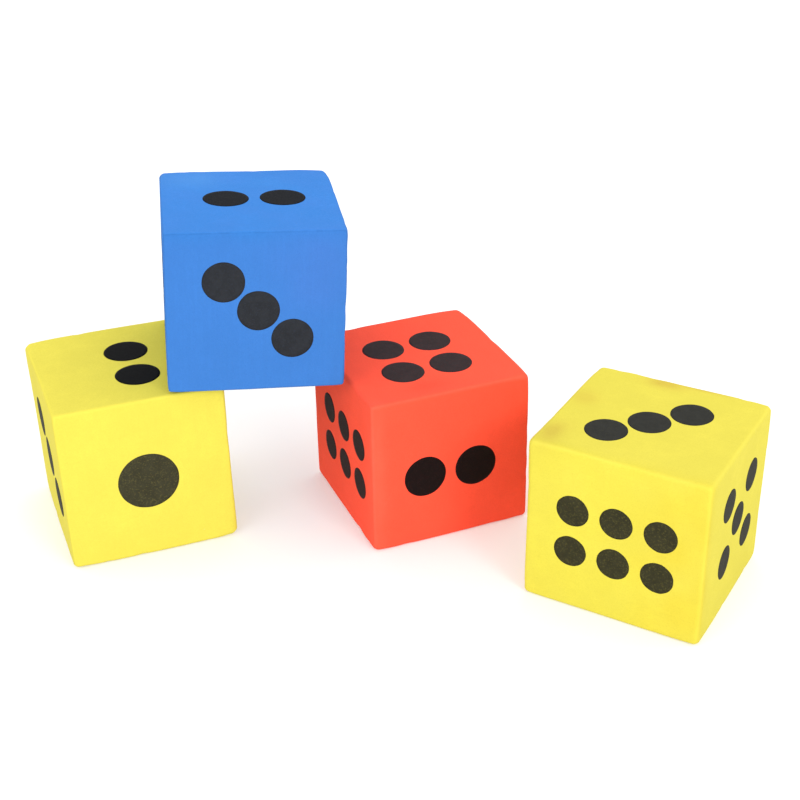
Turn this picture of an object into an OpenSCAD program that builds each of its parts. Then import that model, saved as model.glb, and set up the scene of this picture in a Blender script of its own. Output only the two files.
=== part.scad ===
// Giant foam yard dice: a set of four solid foam dice with printed pips. Three stand on the
// ground and the blue one leans across two of them.
//
// All four are the same right-handed die: 1 is opposite 6, 2 opposite 5 and 3 opposite 4, and
// 1, 2 and 3 run counter-clockwise round their shared corner. A die is drawn with 1 to the
// front (-Y), 2 on top and 3 to the left (-X). It is then rolled onto another face, turned and
// set in its place. Places, block sizes and everything about the pips are in edges, which are
// multiples of the nominal edge length.

/* [Dice] */
// Nominal edge length of a die, in mm
edge = 90; // [60:1:160]
// Radius that the cut foam edges are eased to, in mm
ease = 2; // [1:0.1:3]
// Gap between the blue die and each die that it rests on, in mm
rest_gap = 0.1; // [0.05:0.01:0.3]

/* [Left yellow die] */
// Width, depth and height of the block as it stands, in edges
yellow_left_size = [0.983, 1.008, 1.03]; // [0.94:0.001:1.06]
// Turn about the vertical, in degrees
yellow_left_turn = 20.6; // [14:0.1:25]

/* [Red die] */
// Width, depth and height of the block as it stands, in edges
red_size = [1, 1.009, 0.984]; // [0.94:0.001:1.06]
// Turn about the vertical, in degrees
red_turn = 21.9; // [16:0.1:25]
// Centre on the ground, from the left yellow die's centre, in edges
red_place = [1.745, 0.133]; // [-0.1:0.001:1.9]

/* [Right yellow die] */
// Width, depth and height of the block as it stands, in edges
yellow_right_size = [1.032, 0.989, 1.004]; // [0.94:0.001:1.06]
// Turn about the vertical, in degrees
yellow_right_turn = -30.5; // [-40:0.1:-20]
// Centre on the ground, from the left yellow die's centre, in edges
yellow_right_place = [3.003, -0.759]; // [-1:0.001:3.5]

/* [Blue die] */
// Width, depth and height of the block as it leans, in edges
blue_size = [1.001, 1.03, 0.956]; // [0.94:0.001:1.06]
// Turn about the vertical, in degrees
blue_turn = 8.9; // [0:0.1:15]
// Centre of its underside, from the left yellow die's centre, in edges
blue_place = [0.746, 0.152]; // [0.1:0.001:0.9]

/* [Printed pips] */
// How deep the ink soaks into the cut foam, in mm
ink_depth = 0.4; // [0.2:0.1:1]
// Pip diameter on the face with 1, in edges
one_d = 0.354; // [0.28:0.002:0.4]
// Pip diameter on the face with 2, in edges
two_d = 0.26; // [0.2:0.002:0.28]
// Distance between the pips of the 2, in edges
two_pitch = 0.322; // [0.3:0.002:0.45]
// Pip diameter on the face with 3, in edges
three_d = 0.236; // [0.18:0.002:0.24]
// Step across and down between the pips of the 3, in edges
three_step = [0.188, 0.174]; // [0.17:0.002:0.25]
// Pip diameter on the face with 4, in edges
four_d = 0.252; // [0.18:0.002:0.28]
// Distances across and up between the pips of the 4, in edges
four_pitch = [0.304, 0.312]; // [0.29:0.002:0.45]
// Pip diameter on the face with 5, in edges
five_d = 0.191; // [0.14:0.001:0.2]
// Step from the middle pip of the 5 to its corner pips, in edges
five_step = 0.181; // [0.16:0.001:0.25]
// Pip diameter on the face with 6, in edges
six_d = 0.188; // [0.14:0.001:0.2]
// Distances between the two rows of the 6 and along a row, in edges
six_pitch = [0.26, 0.25]; // [0.21:0.002:0.28]

/* [Hidden] */
yellow_foam = "#f6e65a";
red_foam = "#fb5d45";
blue_foam = "#4a8ee4";
ink = "#2f3032";

// The roll that brings each die onto the face it stands on
no_roll = [0, 0, 0];
red_roll = [90, -90, 0];
yellow_right_roll = [180, 90, 0];
blue_roll = [0, 0, 90];

// How far the print of each number, 1 to 6, missed the middle of its face: across and up in
// edges, then its skew in degrees
yellow_left_prints = [
    [0, -0.015, 0], [0.055, -0.02, 0.7], [0.055, 0.015, 0],
    [-0.02, 0.015, -1], [0.01, -0.02, 0.5], [0.015, 0.01, 1]];
red_prints = [
    [0.015, -0.02, 0], [-0.04, 0.01, 0], [-0.01, 0.015, -1],
    [0.015, 0.015, 0], [0.02, 0.01, 1], [0, 0.035, 0.5]];
yellow_right_prints = [
    [-0.02, 0.015, 0], [0.015, -0.025, 1], [-0.01, 0.015, 0],
    [0.01, 0.02, 0.5], [-0.021, 0.03, 0], [-0.005, -0.01, -0.8]];
blue_prints = [
    [0.02, -0.01, 0], [0.023, -0.03, 0], [0.01, 0.013, 0],
    [-0.015, 0.02, 1], [0.01, 0.015, -1], [-0.02, -0.01, 0.5]];

// Where each number is on the die before it is rolled
face_turns = [
    [90, 0, 0], [0, 0, 0], [90, 0, -90],
    [90, 0, 90], [180, 0, 0], [90, 0, 180]];
// Direction that each number faces before the roll
face_normals = [
    [0, -1, 0], [0, 0, 1], [-1, 0, 0],
    [1, 0, 0], [0, 0, -1], [0, 1, 0]];
pip_diameters = [one_d, two_d, three_d, four_d, five_d, six_d];

// Numerical smoothness of the curves
smooth = 96;
// How far a recess cutter stands out of the face it cuts
cutter_over = 1;

names = ["yellow_left", "red", "yellow_right", "blue"];

// ---- Geometry of the arrangement ----

function turned_x(a) = [[1, 0, 0], [0, cos(a), -sin(a)], [0, sin(a), cos(a)]];
function turned_y(a) = [[cos(a), 0, sin(a)], [0, 1, 0], [-sin(a), 0, cos(a)]];
function turned_z(a) = [[cos(a), -sin(a), 0], [sin(a), cos(a), 0], [0, 0, 1]];
function rolled(r) = turned_z(r.z) * turned_y(r.y) * turned_x(r.x);
function heading(a) = [cos(a), sin(a)];
function cross2(a, b) = a.x * b.y - a.y * b.x;

// Sum of a box's half sizes seen along each axis, with its eased edges
function reach(size, m) = [for (i = [0:2])
    ease + abs(m[i].x) * (size.x / 2 - ease) + abs(m[i].y) * (size.y / 2 - ease)
         + abs(m[i].z) * (size.z / 2 - ease)];

// The block's size before it was rolled onto its face
function unrolled(size, r) = [for (i = [0:2])
    abs(rolled(r)[0][i]) * size.x + abs(rolled(r)[1][i]) * size.y + abs(rolled(r)[2][i]) * size.z];

// Sizes of the blocks as they stand, in mm
yellow_left_box = yellow_left_size * edge;
red_box = red_size * edge;
yellow_right_box = yellow_right_size * edge;
blue_box = blue_size * edge;

// The blue die's underside slopes down at a right angle to the left die's right-hand top edge,
// which it lies on, to where its own right-hand bottom edge crosses the red die's back top edge.
// Both edges are round, so their centre lines are followed, which lie ease inside the faces.
slope_way = heading(yellow_left_turn);
blue_edge_way = heading(blue_turn + 90);
blue_edge_point = blue_place * edge + heading(blue_turn) * (blue_box.x / 2 - ease);
red_edge_way = heading(red_turn);
red_edge_point = red_place * edge + heading(red_turn + 90) * (red_box.y / 2 - ease);
crossing = blue_edge_point + blue_edge_way
    * cross2(red_edge_point - blue_edge_point, red_edge_way) / cross2(blue_edge_way, red_edge_way);

left_support = yellow_left_box.x / 2 - ease;
support_run = crossing * slope_way - left_support;
support_drop = red_box.z - yellow_left_box.z + 2 * ease + rest_gap;
blue_lean = atan2(support_run, support_drop)
    - acos((2 * ease + rest_gap) / norm([support_run, support_drop]));
blue_underside_z = yellow_left_box.z - ease + (ease + rest_gap) / cos(blue_lean)
    - (blue_place * edge * slope_way - left_support) * tan(blue_lean);

blue_pose = turned_z(yellow_left_turn) * turned_y(blue_lean) * turned_z(blue_turn - yellow_left_turn);
blue_centre = [blue_place.x * edge, blue_place.y * edge, blue_underside_z]
    + blue_pose * [0, 0, blue_box.z / 2];

// The set's box on the ground, which the origin is centred under
left_reach = reach(yellow_left_box, turned_z(yellow_left_turn));
red_reach = reach(red_box, turned_z(red_turn));
right_reach = reach(yellow_right_box, turned_z(yellow_right_turn));
blue_reach = reach(blue_box, blue_pose);
x_low = -left_reach.x;
x_high = yellow_right_place.x * edge + right_reach.x;
y_low = yellow_right_place.y * edge - right_reach.y;
y_high = max(left_reach.y, red_place.y * edge + red_reach.y, blue_centre.y + blue_reach.y);
middle = [(x_low + x_high) / 2, (y_low + y_high) / 2];

// ---- One die ----

// Centres of the pips of each number, looking straight at its face
function pips(k) =
    k == 1 ? [[0, 0]] :
    k == 2 ? [for (v = [-0.5, 0.5]) [0, v * two_pitch]] :
    k == 3 ? [for (s = [-1:1]) [s * three_step.x, -s * three_step.y]] :
    k == 4 ? [for (u = [-0.5, 0.5], v = [-0.5, 0.5]) [u * four_pitch.x, v * four_pitch.y]] :
    k == 5 ? concat([[0, 0]], [for (u = [-1, 1], v = [-1, 1]) [u, v] * five_step]) :
    [for (u = [-0.5, 0.5], v = [-1:1]) [u * six_pitch.x, v * six_pitch.y]];

// A rectangle with its corners eased
module eased_outline(width, height) {
    square([width - 2 * ease, height], center = true);
    square([width, height - 2 * ease], center = true);
    for (a = [-1, 1], b = [-1, 1])
        translate([a * (width / 2 - ease), b * (height / 2 - ease)])
            circle(ease, $fn = smooth);
}

// A block of foam with every edge eased: what three eased bars that cross each other share
module eased_block(size) {
    intersection() {
        linear_extrude(size.z, center = true)
            eased_outline(size.x, size.y);
        rotate([90, 0, 0])
            linear_extrude(size.y, center = true)
                eased_outline(size.x, size.z);
        rotate([90, 0, 90])
            linear_extrude(size.x, center = true)
                eased_outline(size.y, size.z);
    }
}

// The round shapes of one number on its face: the ink itself, or cutters that stand out by over
module printed_number(k, size, prints, over = 0) {
    shift = prints[k - 1];
    rotate(face_turns[k - 1])
        translate([shift.x * edge, shift.y * edge, abs(face_normals[k - 1] * size) / 2 - ink_depth])
            rotate([0, 0, shift.z])
                for (p = pips(k))
                    translate([p.x * edge, p.y * edge, 0])
                        cylinder(d = pip_diameters[k - 1] * edge, h = ink_depth + over, $fn = smooth);
}

// The foam of one die, with a shallow seat for every printed pip
module foam(size, prints) {
    difference() {
        eased_block(size);
        for (k = [1:6])
            printed_number(k, size, prints, cutter_over);
    }
}

// ---- The four dice in their places ----

module put_yellow_left() {
    translate([-middle.x, -middle.y, yellow_left_box.z / 2])
        rotate([0, 0, yellow_left_turn])
            rotate(no_roll)
                children();
}

module put_red() {
    translate([red_place.x * edge - middle.x, red_place.y * edge - middle.y, red_box.z / 2])
        rotate([0, 0, red_turn])
            rotate(red_roll)
                children();
}

module put_yellow_right() {
    ground = yellow_right_place * edge - middle;
    translate([ground.x, ground.y, yellow_right_box.z / 2])
        rotate([0, 0, yellow_right_turn])
            rotate(yellow_right_roll)
                children();
}

module put_blue() {
    translate(blue_centre - [middle.x, middle.y, 0])
        rotate([0, 0, yellow_left_turn])
            rotate([0, blue_lean, 0])
                rotate([0, 0, blue_turn - yellow_left_turn])
                    rotate(blue_roll)
                        children();
}

module yellow_left_block() {
    color(yellow_foam)
        put_yellow_left()
            foam(unrolled(yellow_left_box, no_roll), yellow_left_prints);
}

module yellow_left_pips(k) {
    color(ink)
        put_yellow_left()
            printed_number(k, unrolled(yellow_left_box, no_roll), yellow_left_prints);
}

module red_block() {
    color(red_foam)
        put_red()
            foam(unrolled(red_box, red_roll), red_prints);
}

module red_pips(k) {
    color(ink)
        put_red()
            printed_number(k, unrolled(red_box, red_roll), red_prints);
}

module yellow_right_block() {
    color(yellow_foam)
        put_yellow_right()
            foam(unrolled(yellow_right_box, yellow_right_roll), yellow_right_prints);
}

module yellow_right_pips(k) {
    color(ink)
        put_yellow_right()
            printed_number(k, unrolled(yellow_right_box, yellow_right_roll), yellow_right_prints);
}

module blue_block() {
    color(blue_foam)
        put_blue()
            foam(unrolled(blue_box, blue_roll), blue_prints);
}

module blue_pips(k) {
    color(ink)
        put_blue()
            printed_number(k, unrolled(blue_box, blue_roll), blue_prints);
}

yellow_left_block();
red_block();
yellow_right_block();
blue_block();
for (k = [1:6]) {
    yellow_left_pips(k);
    red_pips(k);
    yellow_right_pips(k);
    blue_pips(k);
}
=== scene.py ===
import math

import bmesh
import bpy
import numpy as np
from mathutils import Matrix, Vector


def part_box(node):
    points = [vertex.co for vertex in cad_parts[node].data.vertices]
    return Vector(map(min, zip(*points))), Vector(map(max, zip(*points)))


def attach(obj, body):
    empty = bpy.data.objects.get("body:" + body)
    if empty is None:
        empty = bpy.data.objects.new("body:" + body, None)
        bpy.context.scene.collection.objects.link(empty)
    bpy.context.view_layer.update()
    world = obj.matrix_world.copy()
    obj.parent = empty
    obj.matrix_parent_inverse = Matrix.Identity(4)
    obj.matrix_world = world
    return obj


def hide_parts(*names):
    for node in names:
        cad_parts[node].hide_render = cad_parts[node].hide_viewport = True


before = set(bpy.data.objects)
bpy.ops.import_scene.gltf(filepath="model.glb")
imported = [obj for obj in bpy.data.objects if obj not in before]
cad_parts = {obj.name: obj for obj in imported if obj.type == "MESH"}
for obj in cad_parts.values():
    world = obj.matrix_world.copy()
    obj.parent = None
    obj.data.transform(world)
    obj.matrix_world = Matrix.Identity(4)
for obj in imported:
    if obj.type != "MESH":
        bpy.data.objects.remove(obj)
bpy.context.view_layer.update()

MM = 0.001
EDGE = 0.09  # nominal edge of a die, in metres

# Outward direction of each number on a die, in the die's own axes
WAYS = {1: (0, -1, 0), 2: (0, 0, 1), 3: (-1, 0, 0), 4: (1, 0, 0), 5: (0, 0, -1), 6: (0, 1, 0)}

# Foam skin and ink, measured inward from the CAD block's faces
SKIN_INSET = 0.07 * MM
INK_PROUD = 0.06 * MM
INK_DEPTH = 0.25 * MM

# How a block's surface departs from a plain eased box, in mm: how much its edge radius varies,
# the reach of a softened corner, and the depths of its long and its short unevenness
RADIUS_SPREAD = 0.35
SOFT_REACH = 10
WOBBLE = 0.14
LUMPS = 0.025

# The foam's grid: a finer band along every edge, and the steps across the band and the rest
EASED_BAND = 4.5 * MM
BAND_STEPS = 9
FACE_STEPS = 58
RIM_TURN = 0.29  # 1 less the cosine of 45 degrees, the middle of an edge, where the rim is full

# The ink's rounds: points along the edge, and how far the edge strays
PIP_STEPS = 72
PIP_FRAY = 0.055 * MM

YELLOW = (0.692, 0.603, 0.074)
RED = (0.970, 0.091, 0.046)
BLUE = (0.046, 0.190, 0.563)
INK = (0.98, 1.02, 1.08)  # tint of the ink's grey

# The camera, from a fit to the photo's edges: its turns in degrees, its lens and sensor in mm,
# its place from the middle of the left yellow die and its height over the ground in edges
CAMERA_PITCH = 28.86
CAMERA_ROLL = -1.0
CAMERA_LENS = 64.06
CAMERA_SENSOR = 36.0
CAMERA_OFFSET = (1.6341, -7.4532)
CAMERA_HEIGHT = 4.853

# What the lights aim at, in metres, and the radius of the floor, in edges
LIT_SPOT = (0, 0, 0.08)
FLOOR_REACH = 60

# One entry a die: its body, foam colour and slot, and how its surface differs from the others.
# radius is what its edges are rubbed down to, in mm; rim above 0 paints a highlight along them
# and rim below 0 darkens them. The factors for the faces of 1 to 6 are partly each face's own
# tone and partly painted light and shade, lightening or darkening whole faces as they are lit,
# and inks are the grey and the bare share of each number's ink. Places below are in half sizes
# and lengths in mm: soft corners with the radius that they gain, pulls with their reach and way,
# and colour patches with their reach along each axis and their change of colour. Some patches
# are painted highlights and painted reflections of the red die; the rest only change the colour.
DICE = [
    dict(body="yellow_left", colour=YELLOW, slot="yellow_foam", seed=11, streak=0.5,
         radius=2.0, rim=0.0, face_tones_and_painted_light=(1.06, 1.035, 0.97, 0.98, 0.97, 1.0),
         inks=((0.016, 0.034), (0.0015, 0.0), (0.016, 0.020), (0.014, 0.015), (0.012, 0.02),
               (0.014, 0.02)),
         soft=[((-1, 1, 1), 2.2), ((1, -1, -1), 1.2), ((-1, -1, -1), 1.2)],
         pulls=[((-1, 1, 1), 26, (-0.9, 0, 0)), ((1, -1, -1), 38, (0.9, -0.6, 0)),
                ((0, -1, -1), 40, (0, -0.4, 0))],
         patches_and_painted_light=[]),
    dict(body="red", colour=RED, slot="red_foam", seed=23, streak=0.6,
         radius=2.3, rim=0.01, face_tones_and_painted_light=(1.0, 1.0, 1.0, 1.02, 1.0, 1.02),
         inks=((0.012, 0.012), (0.003, 0.005), (0.010, 0.012), (0.018, 0.013), (0.012, 0.012),
               (0.0105, 0.010)),
         soft=[((1, -1, -1), 2.0), ((-1, 1, 1), 1.0), ((1, -1, 1), 1.2)],
         pulls=[((0, -1, 0), 50, (0, -0.6, 0)), ((-1, 0, 1), 40, (0, 0, 0.3))],
         # Painted highlight: a lighter band down the face of 2 beside its edge with the face of 6
         patches_and_painted_light=[((0, 0.93, 1), (60, 4.5, 7), (1.0, 1.22, 1.30)),
                 # A patch of deeper red on the face of 4 toward the face of 2
                 ((1, 0.2, 0.75), (5, 11, 6), (0.98, 0.88, 0.88))]),
    dict(body="yellow_right", colour=YELLOW, slot="yellow_foam", seed=37, streak=0.5,
         radius=2.3, rim=0.01, face_tones_and_painted_light=(1.0, 1.0, 0.965, 1.0, 0.92, 1.03),
         inks=((0.014, 0.02), (0.012, 0.02), (0.0185, 0.008), (0.014, 0.015), (0.018, 0.015),
               (0.010, 0.032)),
         soft=[((-1, -1, 1), 1.0), ((-1, -1, -1), 1.1), ((1, 1, -1), 0.7), ((1, 1, 1), 0.3)],
         pulls=[((1, 0, -1), 40, (0, 0, -0.5)), ((1, 1, -1), 24, (0, 0.6, -0.3))],
         # The face of 6 less blue all over, and darker and browner toward the face of 5
         patches_and_painted_light=[((0, 1, 0), (90, 5, 90), (1.0, 1.0, 0.86)),
                 ((0.1, 1, -0.75), (50, 7, 24), (0.98, 0.92, 0.78)),
                 # Darker red-brown patches on the face of 3 along its edge with the face of 1
                 ((-1, -0.90, 0.17), (8, 5, 10), (0.87, 0.76, 0.80)),
                 ((-1, -1, -0.28), (5, 3, 12), (0.84, 0.70, 0.72)),
                 # Painted reflections of the red die: red-brown patches on the face of 3 toward the
                 # face of 2
                 ((-1, -0.20, 0.85), (6, 8, 7), (0.96, 0.90, 0.90)),
                 ((-1, 0.72, 0.84), (6, 11, 6), (0.86, 0.78, 0.82))]),
    dict(body="blue", colour=BLUE, slot="blue_foam", seed=53, streak=1.0,
         radius=1.45, rim=-0.12, face_tones_and_painted_light=(0.97, 1.06, 0.94, 0.97, 0.95, 0.97),
         inks=((0.014, 0.012), (0.0045, 0.006), (0.0205, 0.009), (0.014, 0.010), (0.014, 0.010),
               (0.014, 0.010)),
         soft=[((1, 1, 1), 2.4), ((1, -1, 1), 2.8)],
         pulls=[((0, -1, 0), 60, (0, -0.4, 0))],
         # The face of 2 less red all over, lighter and whiter patches on it toward the face of 4,
         # and a redder patch on the face of 3 toward the faces of 1 and 2
         patches_and_painted_light=[((0, 0, 1), (90, 90, 5), (0.82, 1.01, 1.0)),
                 ((0.75, 0.60, 1), (14, 16, 6), (1.42, 1.18, 1.06)),
                 ((0.55, -0.25, 1), (9, 12, 6), (1.10, 1.05, 1.02)),
                 ((-1, -0.65, 0.55), (6, 22, 26), (1.18, 0.98, 1.0))]),
]


# ---- Where each die is, read from the CAD solids ----

def solids(node):
    """The separate solids of a CAD node, each as an array of its vertices."""
    mesh = bmesh.new()
    mesh.from_mesh(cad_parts[node].data)
    bmesh.ops.remove_doubles(mesh, verts=mesh.verts, dist=1e-6)
    found, seen = [], set()
    for start in mesh.verts:
        if start in seen:
            continue
        group, queue = [], [start]
        seen.add(start)
        while queue:
            vert = queue.pop()
            group.append(tuple(vert.co))
            for edge in vert.link_edges:
                other = edge.other_vert(vert)
                if other not in seen:
                    seen.add(other)
                    queue.append(other)
        found.append(np.array(group, float))
    mesh.free()
    return found


def flat_way(points, inside):
    """The direction that a thin flat group of points faces, away from a point inside."""
    middle = points.mean(0)
    way = np.linalg.svd(points - middle, full_matrices=False)[2][2]
    return way if way @ (middle - inside) > 0 else -way


class Die:
    """A die's place, axes, half sizes and pips, and the true shape of its rubbed foam surface."""

    def __init__(self, entry):
        self.entry, self.body = entry, entry["body"]
        block = np.concatenate(solids(f"{self.body}_block"))
        inks = {k: solids(f"{self.body}_pips_{k}") for k in WAYS}
        rough_middle = (block.min(0) + block.max(0)) / 2
        faces = {k: flat_way(np.concatenate(inks[k]), rough_middle) for k in WAYS}
        u, _, v = np.linalg.svd(
            np.array([faces[4] - faces[3], faces[6] - faces[1], faces[2] - faces[5]]))
        self.axes = u @ v
        local = block @ self.axes.T
        self.half = (local.max(0) - local.min(0)) / 2
        self.centre = (local.max(0) + local.min(0)) / 2 @ self.axes
        self.pips = {}
        for k, way in WAYS.items():
            way = np.array(way, float)
            self.pips[k] = []
            for solid in inks[k]:
                points = (solid - self.centre) @ self.axes.T
                spot = (points.min(0) + points.max(0)) / 2
                side = points - spot
                side -= np.outer(side @ way, way)
                spot += way * (self.half @ np.abs(way) - spot @ way)
                self.pips[k].append((spot, np.linalg.norm(side, axis=1).max()))
        self.pips = {k: sorted(v, key=lambda pip: tuple(np.round(pip[0], 5)))
                     for k, v in self.pips.items()}
        self.wear()

    def matrix(self):
        place = Matrix(self.axes.T.tolist()).to_4x4()
        place.translation = Vector(self.centre.tolist())
        return place

    def wear(self):
        """Chooses the block's waves, bows and dents, from its own seed."""
        seed = self.entry["seed"]
        rng = np.random.default_rng(seed)
        self.wobble = waves(seed + 1, 45 * MM, 130 * MM)
        self.lumps = waves(seed + 2, 14 * MM, 34 * MM)
        self.rounding = waves(seed + 3, 50 * MM, 150 * MM)
        self.bows = np.minimum(rng.uniform(-0.35, 0.25, 6), 0) * MM
        self.dents = []
        for corner in np.array(np.meshgrid([-1, 1], [-1, 1], [-1, 1])).T.reshape(-1, 3):
            self.dents.append((corner * self.half, rng.uniform(2.4, 3.4) * MM,
                               rng.uniform(0.1, 0.5) * MM))
        for _ in range(26):
            place = rng.choice([-1.0, 1.0], 3)
            place[rng.integers(3)] = rng.uniform(-0.9, 0.9)
            self.dents.append((place * self.half, rng.uniform(1.6, 4.5) * MM,
                               rng.uniform(0.06, 0.30) * MM))
        for _ in range(10):
            place = rng.uniform(-0.85, 0.85, 3)
            place[rng.integers(3)] = rng.choice([-1.0, 1.0])
            self.dents.append((place * self.half, rng.uniform(7, 15) * MM,
                               rng.uniform(0.03, 0.10) * MM))

    def surface(self, flat, rise=0.0):
        """Points of the plain box moved onto the rubbed, eased block, and their outward ways."""
        radius = self.entry["radius"] + RADIUS_SPREAD * self.rounding(flat)
        for corner, gain in self.entry["soft"]:
            radius += gain * self.nearness(flat, corner, SOFT_REACH)
        radius = radius[:, None] * MM
        inner = np.clip(flat, -(self.half - radius), self.half - radius)
        out = flat - inner
        out /= np.linalg.norm(out, axis=1)[:, None]
        share = flat / self.half
        depth = WOBBLE * (self.wobble(flat) - 1) + LUMPS * (self.lumps(flat) - 1)
        depth = np.minimum(depth, 0) * MM
        for k, way in WAYS.items():
            way = np.array(way, float)
            across = [i for i in range(3) if way[i] == 0]
            crown = (1 - share[:, across[0]] ** 2) * (1 - share[:, across[1]] ** 2)
            depth += self.bows[k - 1] * crown * np.clip(share @ way, 0, 1) ** 8
        for place, size, deep in self.dents:
            depth -= deep * np.exp(-((flat - place) ** 2).sum(1) / size ** 2)
        moved = inner + out * (radius + (depth - SKIN_INSET + rise)[:, None])
        for place, reach, way in self.entry["pulls"]:
            moved += self.nearness(flat, place, reach)[:, None] * np.array(way) * MM
        return moved, out

    def nearness(self, flat, place, reach):
        """From 1 at a place given in half sizes to 0 well beyond a reach in mm."""
        away = (flat - np.array(place) * self.half) / (np.array(reach) * MM)
        return np.exp(-(away ** 2).sum(1))

    def colouring(self, flat, out):
        """Colour factors of points: a factor for each face, partly the face's own colour and partly
        painted light and shade, times the colour patches over it, some of them painted highlights
        and painted reflections.
        """
        tone_and_painted_light, weight = np.zeros(len(flat)), np.zeros(len(flat))
        # Face factors, partly painted light and shade that lightens or darkens whole faces
        for k, way in WAYS.items():
            facing = np.clip(out @ np.array(way, float), 0, 1) ** 6
            tone_and_painted_light += facing * self.entry["face_tones_and_painted_light"][k - 1]
            weight += facing
        factor = np.repeat((tone_and_painted_light / weight)[:, None], 3, 1)
        # Colour patches; some are painted highlights and painted reflections of the red die
        for place, reach, change in self.entry["patches_and_painted_light"]:
            share = self.nearness(flat, place, reach) * (1 + 0.3 * self.lumps(flat))
            factor *= 1 + np.clip(share, 0, 1)[:, None] * (np.array(change) - 1)
        return factor


def waves(seed, shortest, longest):
    """A smooth random function of points, mostly within -1 and 1, with waves of those lengths."""
    count = 22
    rng = np.random.default_rng(seed)
    ways = rng.normal(size=(count, 3))
    ways *= (2 * np.pi / rng.uniform(shortest, longest, count)
             / np.linalg.norm(ways, axis=1))[:, None]
    phases = rng.uniform(0, 2 * np.pi, count)
    sizes = rng.uniform(0.5, 1, count)
    sizes *= 0.6 / np.sqrt((sizes ** 2).sum() / 2)
    return lambda points: np.sin(points @ ways.T + phases) @ sizes


# ---- Meshes ----

def mesh_object(name, points, faces, attributes=()):
    """A smooth mesh in the scene, with attributes given as name, kind, field and values."""
    mesh = bpy.data.meshes.new(name)
    mesh.from_pydata(points.tolist(), [], faces)
    mesh.polygons.foreach_set("use_smooth", [True] * len(mesh.polygons))
    for key, kind, field, values in attributes:
        mesh.attributes.new(key, kind, "POINT").data.foreach_set(
            field, np.asarray(values, np.float32).ravel())
    mesh.update()
    obj = bpy.data.objects.new(name, mesh)
    bpy.context.scene.collection.objects.link(obj)
    return obj


def ticks(half):
    """Grid lines from -half to half, closer together where the edges are eased."""
    ends = np.linspace(0, EASED_BAND, BAND_STEPS + 1)
    middle = np.linspace(-half + EASED_BAND, half - EASED_BAND, FACE_STEPS + 1)
    return np.concatenate([-half + ends[:-1], middle, half - ends[:-1][::-1]])


def foam_block(die):
    """One die's foam: a fine grid over all six faces, shaped by Die.surface."""
    grids, quads, start = [], [], 0
    for k, way in WAYS.items():
        normal = [i for i in range(3) if way[i]][0]
        a, b = (normal + 1) % 3, (normal + 2) % 3
        ta, tb = ticks(die.half[a]), ticks(die.half[b])
        grid = np.zeros((len(ta), len(tb), 3))
        grid[..., normal] = way[normal] * die.half[normal]
        grid[..., a] = ta[:, None]
        grid[..., b] = tb[None, :]
        grids.append(grid.reshape(-1, 3))
        index = start + np.arange(len(ta) * len(tb)).reshape(len(ta), len(tb))
        corners = [index[:-1, :-1], index[1:, :-1], index[1:, 1:], index[:-1, 1:]]
        if way[normal] < 0:
            corners.reverse()
        quads.append(np.stack(corners, -1).reshape(-1, 4))
        start += len(ta) * len(tb)
    flat = np.concatenate(grids)
    _, first, same = np.unique(np.round(flat / 1e-7), axis=0, return_index=True,
                               return_inverse=True)
    flat, quads = flat[first], same.reshape(-1)[np.concatenate(quads)]
    points, out = die.surface(flat)
    rim = 1 - np.abs(out).max(1)
    # Face and patch factors: partly painted light and shade, painted highlights and painted
    # reflections
    tones_patches_and_painted_light = np.concatenate([die.colouring(flat, out), np.ones((len(flat), 1))], axis=1)
    obj = mesh_object(f"{die.body}_foam", points, quads.tolist(),
                      [("rim", "FLOAT", "value", np.clip(rim / RIM_TURN, 0, 1)),
                       ("tones_patches_and_painted_light", "FLOAT_COLOR", "color", tones_patches_and_painted_light)])
    obj.matrix_world = die.matrix()
    return obj


def printed_pips(die, k):
    """The ink of one number: thin rounds that follow the foam under them."""
    way = np.array(WAYS[k], float)
    normal = int(np.abs(way).argmax())
    across = np.eye(3)[(normal + 1) % 3]
    up = np.cross(way, across)
    rng = np.random.default_rng(die.entry["seed"] * 10 + k)
    angles = np.arange(PIP_STEPS) * 2 * np.pi / PIP_STEPS
    points, faces = [], []
    for spot, radius in die.pips[k]:
        rings = max(5, round(radius / (1.5 * MM)))
        edge = np.zeros(PIP_STEPS)
        for turn in range(2, 15):
            edge += rng.normal() * np.sin(turn * angles + rng.uniform(0, 2 * np.pi)) / turn ** 0.8
        edge = radius + PIP_FRAY * edge
        layers = []
        for rise in (INK_PROUD, INK_PROUD - INK_DEPTH):
            ring = [spot[None, :]]
            for i in range(1, rings + 1):
                share = i / rings
                reach = (radius * share + (edge - radius) * share ** 4)[:, None]
                ring.append(spot + reach * (np.cos(angles)[:, None] * across
                                            + np.sin(angles)[:, None] * up))
            layers.append(die.surface(np.concatenate(ring), rise)[0])
        top, bottom = len(points), len(points) + len(layers[0])
        points.extend(layers[0].tolist() + layers[1].tolist())
        for j in range(PIP_STEPS):
            n = (j + 1) % PIP_STEPS
            faces.append([top, top + 1 + j, top + 1 + n])
            faces.append([bottom, bottom + 1 + n, bottom + 1 + j])
            for i in range(rings - 1):
                a, b = 1 + i * PIP_STEPS, 1 + (i + 1) * PIP_STEPS
                faces.append([top + a + j, top + b + j, top + b + n, top + a + n])
                faces.append([bottom + a + j, bottom + a + n, bottom + b + n, bottom + b + j])
            a = 1 + (rings - 1) * PIP_STEPS
            faces.append([top + a + j, bottom + a + j, bottom + a + n, top + a + n])
    obj = mesh_object(f"{die.body}_ink_{k}", np.array(points), faces)
    obj.matrix_world = die.matrix()
    return obj


# ---- Materials ----

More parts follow.
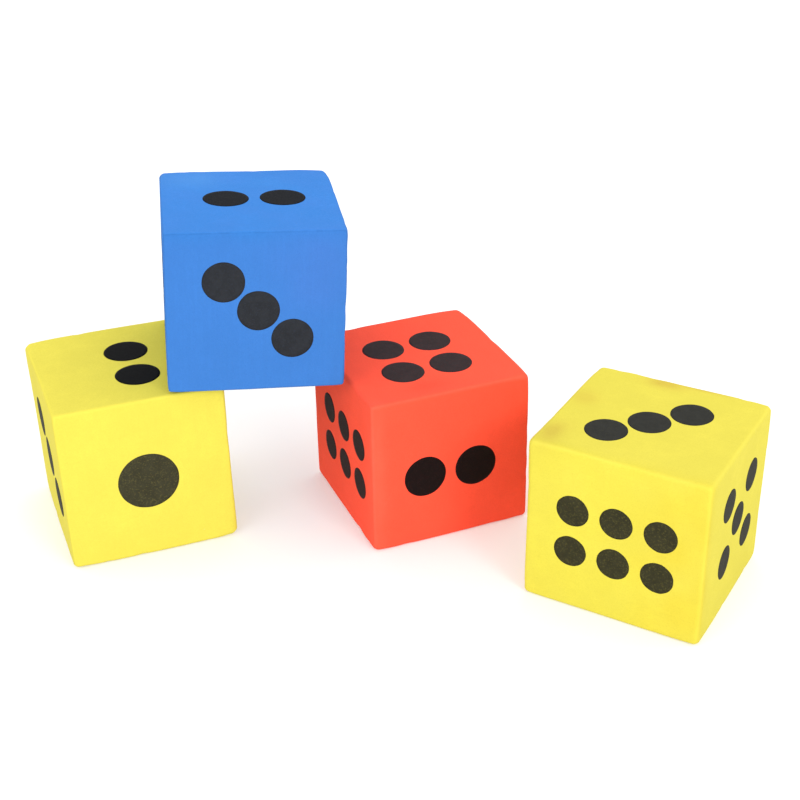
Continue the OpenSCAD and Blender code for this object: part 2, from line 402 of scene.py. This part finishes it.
class Recipe:
    """A node material with short calls for what the foam and the ink share."""

    def __init__(self, name):
        self.material = bpy.data.materials.new(name)
        self.material.use_nodes = True
        self.tree = self.material.node_tree
        self.tree.nodes.clear()
        self.shader = self.node("ShaderNodeBsdfPrincipled")
        output = self.node("ShaderNodeOutputMaterial")
        self.link(self.shader.outputs[0], output.inputs[0])
        self.place = self.node("ShaderNodeTexCoord").outputs["Object"]

    def node(self, kind, **settings):
        node = self.tree.nodes.new(kind)
        for key, value in settings.items():
            setattr(node, key, value)
        return node

    def link(self, output, socket):
        self.tree.links.new(output, socket)

    def put(self, socket, value):
        if isinstance(value, bpy.types.NodeSocket):
            self.link(value, socket)
        else:
            socket.default_value = value

    def moved(self, offset, stretch=(1, 1, 1)):
        """The object's own coordinates, shifted and stretched."""
        mapping = self.node("ShaderNodeMapping")
        mapping.inputs["Location"].default_value = offset
        mapping.inputs["Scale"].default_value = stretch
        self.link(self.place, mapping.inputs["Vector"])
        return mapping.outputs[0]

    def noise(self, size, seed, detail=2.0, rough=0.5, stretch=(1, 1, 1)):
        """Noise whose features are about size across, in metres, around 0.5."""
        noise = self.node("ShaderNodeTexNoise")
        self.link(self.moved((seed * 0.37, seed * 0.61, seed * 0.13), stretch),
                  noise.inputs["Vector"])
        noise.inputs["Scale"].default_value = 1 / size
        noise.inputs["Detail"].default_value = detail
        noise.inputs["Roughness"].default_value = rough
        return noise.outputs["Fac"]

    def cells(self, size, seed):
        """Distance in cell sizes to the nearest of points strewn about size apart."""
        cells = self.node("ShaderNodeTexVoronoi")
        self.link(self.moved((seed * 0.29, seed * 0.53, seed * 0.71)), cells.inputs["Vector"])
        cells.inputs["Scale"].default_value = 1 / size
        return cells.outputs["Distance"]

    def maths(self, operation, a, b):
        node = self.node("ShaderNodeMath", operation=operation)
        self.put(node.inputs[0], a)
        self.put(node.inputs[1], b)
        return node.outputs[0]

    def ranged(self, value, low, high, to_low=0.0, to_high=1.0):
        """value eased from the range low to high onto the range to_low to to_high."""
        node = self.node("ShaderNodeMapRange")
        node.interpolation_type = "SMOOTHSTEP"
        self.put(node.inputs["Value"], value)
        for key, number in (("From Min", low), ("From Max", high), ("To Min", to_low),
                            ("To Max", to_high)):
            node.inputs[key].default_value = number
        return node.outputs[0]

    def mix(self, share, a, b, blend="MIX"):
        node = self.node("ShaderNodeMix", data_type="RGBA", blend_type=blend)
        self.put(node.inputs["Factor"], share)
        for socket, value in ((node.inputs[6], a), (node.inputs[7], b)):
            if isinstance(value, tuple):
                value = (*value, 1.0)
            self.put(socket, value)
        return node.outputs[2]

    def attribute(self, name, output="Fac"):
        return self.node("ShaderNodeAttribute", attribute_name=name).outputs[output]

    def bump(self, height, distance, strength, below=None):
        bump = self.node("ShaderNodeBump")
        bump.inputs["Strength"].default_value = strength
        bump.inputs["Distance"].default_value = distance
        self.link(height, bump.inputs["Height"])
        if below is not None:
            self.link(below, bump.inputs["Normal"])
        return bump.outputs[0]


def scaled(colour, by):
    return tuple(min(c * by, 1.0) for c in colour)


def foam_material(die):
    """Cut foam: cells darkened with painted shade, saw streaks, patchy colour, and edges lightened
    with a painted highlight on some dice and darkened on others, its sizes given and not measured.
    """
    entry, seed = die.entry, die.entry["seed"]
    recipe = Recipe(f"{die.body}_foam")
    colour = entry["colour"]
    patches = recipe.noise(24 * MM, seed, 3.0, 0.55)
    cloud = recipe.noise(6 * MM, seed + 5, 3.0, 0.6)
    grain = recipe.noise(0.8 * MM, seed + 1, 2.0, 0.6)
    streaks = recipe.noise(1.7 * MM, seed + 2, 2.0, 0.6, (1, 1, 0.06))
    cells = recipe.cells(0.75 * MM, seed + 3)

    tint = recipe.mix(recipe.ranged(patches, 0.32, 0.68), scaled(colour, 0.965),
                      scaled(colour, 1.03))
    tint = recipe.mix(recipe.ranged(cloud, 0.3, 0.7, 0, 0.5), tint, scaled(colour, 0.95))
    tint = recipe.mix(recipe.ranged(streaks, 0.36, 0.64, 0, 0.35 * entry["streak"]), tint,
                      scaled(colour, 0.92))
    tint = recipe.mix(recipe.ranged(grain, 0.30, 0.70, 0, 0.40), tint, scaled(colour, 0.90))
    # Painted shade: darker dots for the shade inside the foam's open cells
    pore_shade = recipe.ranged(cells, 0.10, 0.32, 0.35, 0)
    tint = recipe.mix(pore_shade, tint, scaled(colour, 0.72))
    # Edge tint over the rounded edges: where rim is above 0 it lightens them, a painted highlight;
    # below 0 it darkens them
    rim = entry["rim"]
    edge_highlight_and_darkening = recipe.maths("MULTIPLY", recipe.attribute("rim"),
                        recipe.ranged(cloud, 0.35, 0.65, 0.5, 1.0))
    edge = tuple(c + (1 - c) * rim for c in colour) if rim > 0 else scaled(colour, 1 + 2 * rim)
    tint = recipe.mix(edge_highlight_and_darkening, tint, edge)
    specks = recipe.cells(26 * MM, seed + 7)
    tint = recipe.mix(recipe.ranged(specks, 0.010, 0.020, 0.25, 0), tint,
                      tuple(c + (1 - c) * 0.25 for c in colour))
    # Multiplies in the face and patch factors, partly painted light and shade, highlights and
    # reflections
    tint = recipe.mix(1.0, tint, recipe.attribute("tones_patches_and_painted_light", "Color"), "MULTIPLY")
    recipe.put(recipe.shader.inputs["Base Color"], tint)

    rough = recipe.ranged(grain, 0.3, 0.7, 0.78, 0.92)
    recipe.put(recipe.shader.inputs["Roughness"], rough)
    height = recipe.maths("ADD", recipe.maths("MULTIPLY", grain, 0.7),
                          recipe.maths("MULTIPLY", streaks, 0.6 * entry["streak"]))
    height = recipe.maths("ADD", height, recipe.ranged(cells, 0.05, 0.5, 0, 0.5))
    normal = recipe.bump(cloud, 0.25 * MM, 0.35)
    normal = recipe.bump(height, 0.10 * MM, 0.8, normal)
    recipe.put(recipe.shader.inputs["Normal"], normal)
    recipe.shader.inputs["Specular IOR Level"].default_value = 0.12
    return recipe.material


def ink_material(die, k):
    """Printed ink that thins in places, so the foam shows in pinholes, its sizes likewise given and
    not measured.
    """
    entry, seed = die.entry, die.entry["seed"] + 7 * k
    grey, bare = entry["inks"][k - 1]
    recipe = Recipe(f"{die.body}_ink_{k}")
    colour = entry["colour"]
    cloud = recipe.noise(4 * MM, seed, 3.0, 0.6)
    grain = recipe.noise(0.9 * MM, seed + 1, 2.0, 0.65)
    cells = recipe.cells(1.2 * MM, seed + 3)
    ink = tuple(grey * i + c * bare for i, c in zip(INK, colour))
    tint = recipe.mix(recipe.ranged(cloud, 0.35, 0.68, 0, 1), scaled(ink, 0.88),
                      scaled(ink, 1.10))
    thin = tuple(i + 1.5 * bare * c + 0.004 for i, c in zip(ink, colour))
    tint = recipe.mix(recipe.ranged(grain, 0.50, 0.70, 0, 0.9), tint, thin)
    holes = recipe.maths("MULTIPLY", recipe.ranged(cells, 0.10, 0.17, 1, 0),
                         recipe.ranged(grain, 0.50, 0.60, 0, min(0.6, 4.5 * bare)))
    tint = recipe.mix(holes, tint, tuple(0.02 + 0.4 * c for c in colour))
    recipe.put(recipe.shader.inputs["Base Color"], tint)
    recipe.put(recipe.shader.inputs["Roughness"], recipe.ranged(grain, 0.3, 0.7, 0.66, 0.84))
    recipe.put(recipe.shader.inputs["Normal"], recipe.bump(grain, 0.07 * MM, 0.6))
    recipe.shader.inputs["Specular IOR Level"].default_value = 0.08
    return recipe.material


# ---- The dice ----

dice = {entry["body"]: Die(entry) for entry in DICE}
for die in dice.values():
    block = foam_block(die)
    block.data.materials.append(foam_material(die))
    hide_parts(f"{die.body}_block")
    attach(block, die.body)
    for k in WAYS:
        ink = printed_pips(die, k)
        ink.data.materials.append(ink_material(die, k))
        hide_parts(f"{die.body}_pips_{k}")
        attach(ink, die.body)


# ---- Floor, light and camera ----

floor_mesh = bmesh.new()
bmesh.ops.create_circle(floor_mesh, cap_ends=True, segments=96, radius=FLOOR_REACH * EDGE)
floor_data = bpy.data.meshes.new("floor")
floor_mesh.to_mesh(floor_data)
floor_mesh.free()
floor = bpy.data.objects.new("floor", floor_data)
bpy.context.scene.collection.objects.link(floor)
pale = Recipe("floor")
pale.shader.inputs["Base Color"].default_value = (0.72, 0.72, 0.72, 1)
pale.shader.inputs["Roughness"].default_value = 0.9
pale.shader.inputs["Specular IOR Level"].default_value = 0.1
pale.shader.inputs["Emission Color"].default_value = (1, 1, 1, 1)
pale.shader.inputs["Emission Strength"].default_value = 0.26
floor.data.materials.append(pale.material)

world = bpy.data.worlds.new("studio")
bpy.context.scene.world = world
world.use_nodes = True
world.node_tree.nodes["Background"].inputs["Color"].default_value = (1, 1, 1, 1)
world.node_tree.nodes["Background"].inputs["Strength"].default_value = 1.25


def softbox(name, turn, height, distance, size, power):
    """A square light, turned degrees to the right of the front and raised degrees up."""
    data = bpy.data.lights.new(name, "AREA")
    data.shape = "SQUARE"
    data.size = size
    data.energy = power
    lamp = bpy.data.objects.new(name, data)
    a, e = math.radians(turn), math.radians(height)
    way = Vector((math.sin(a) * math.cos(e), -math.cos(a) * math.cos(e), math.sin(e)))
    lamp.location = Vector(LIT_SPOT) + way * distance
    lamp.rotation_euler = (-way).to_track_quat("-Z", "Y").to_euler()
    bpy.context.scene.collection.objects.link(lamp)


softbox("right_softbox", 33, 30, 1.8, 0.50, 9.2)
softbox("left_softbox", -36, 29, 1.8, 0.80, 3.5)

left_low, left_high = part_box("yellow_left_block")
camera_data = bpy.data.cameras.new("camera")
camera_data.sensor_width = CAMERA_SENSOR
camera_data.lens = CAMERA_LENS
camera = bpy.data.objects.new("camera", camera_data)
pitch, roll = math.radians(CAMERA_PITCH), math.radians(CAMERA_ROLL)
forward = Vector((0, math.cos(pitch), -math.sin(pitch)))
level, rise = Vector((1, 0, 0)), Vector((0, math.sin(pitch), math.cos(pitch)))
right = level * math.cos(roll) + rise * math.sin(roll)
up = rise * math.cos(roll) - level * math.sin(roll)
stand = (left_low + left_high) / 2 + Vector((*CAMERA_OFFSET, 0)) * EDGE
stand.z = CAMERA_HEIGHT * EDGE
turn = Matrix((right, up, -forward)).transposed().to_4x4()
turn.translation = stand
camera.matrix_world = turn
bpy.context.scene.collection.objects.link(camera)
bpy.context.scene.camera = camera
bpy.context.scene.view_settings.view_transform = "Standard"
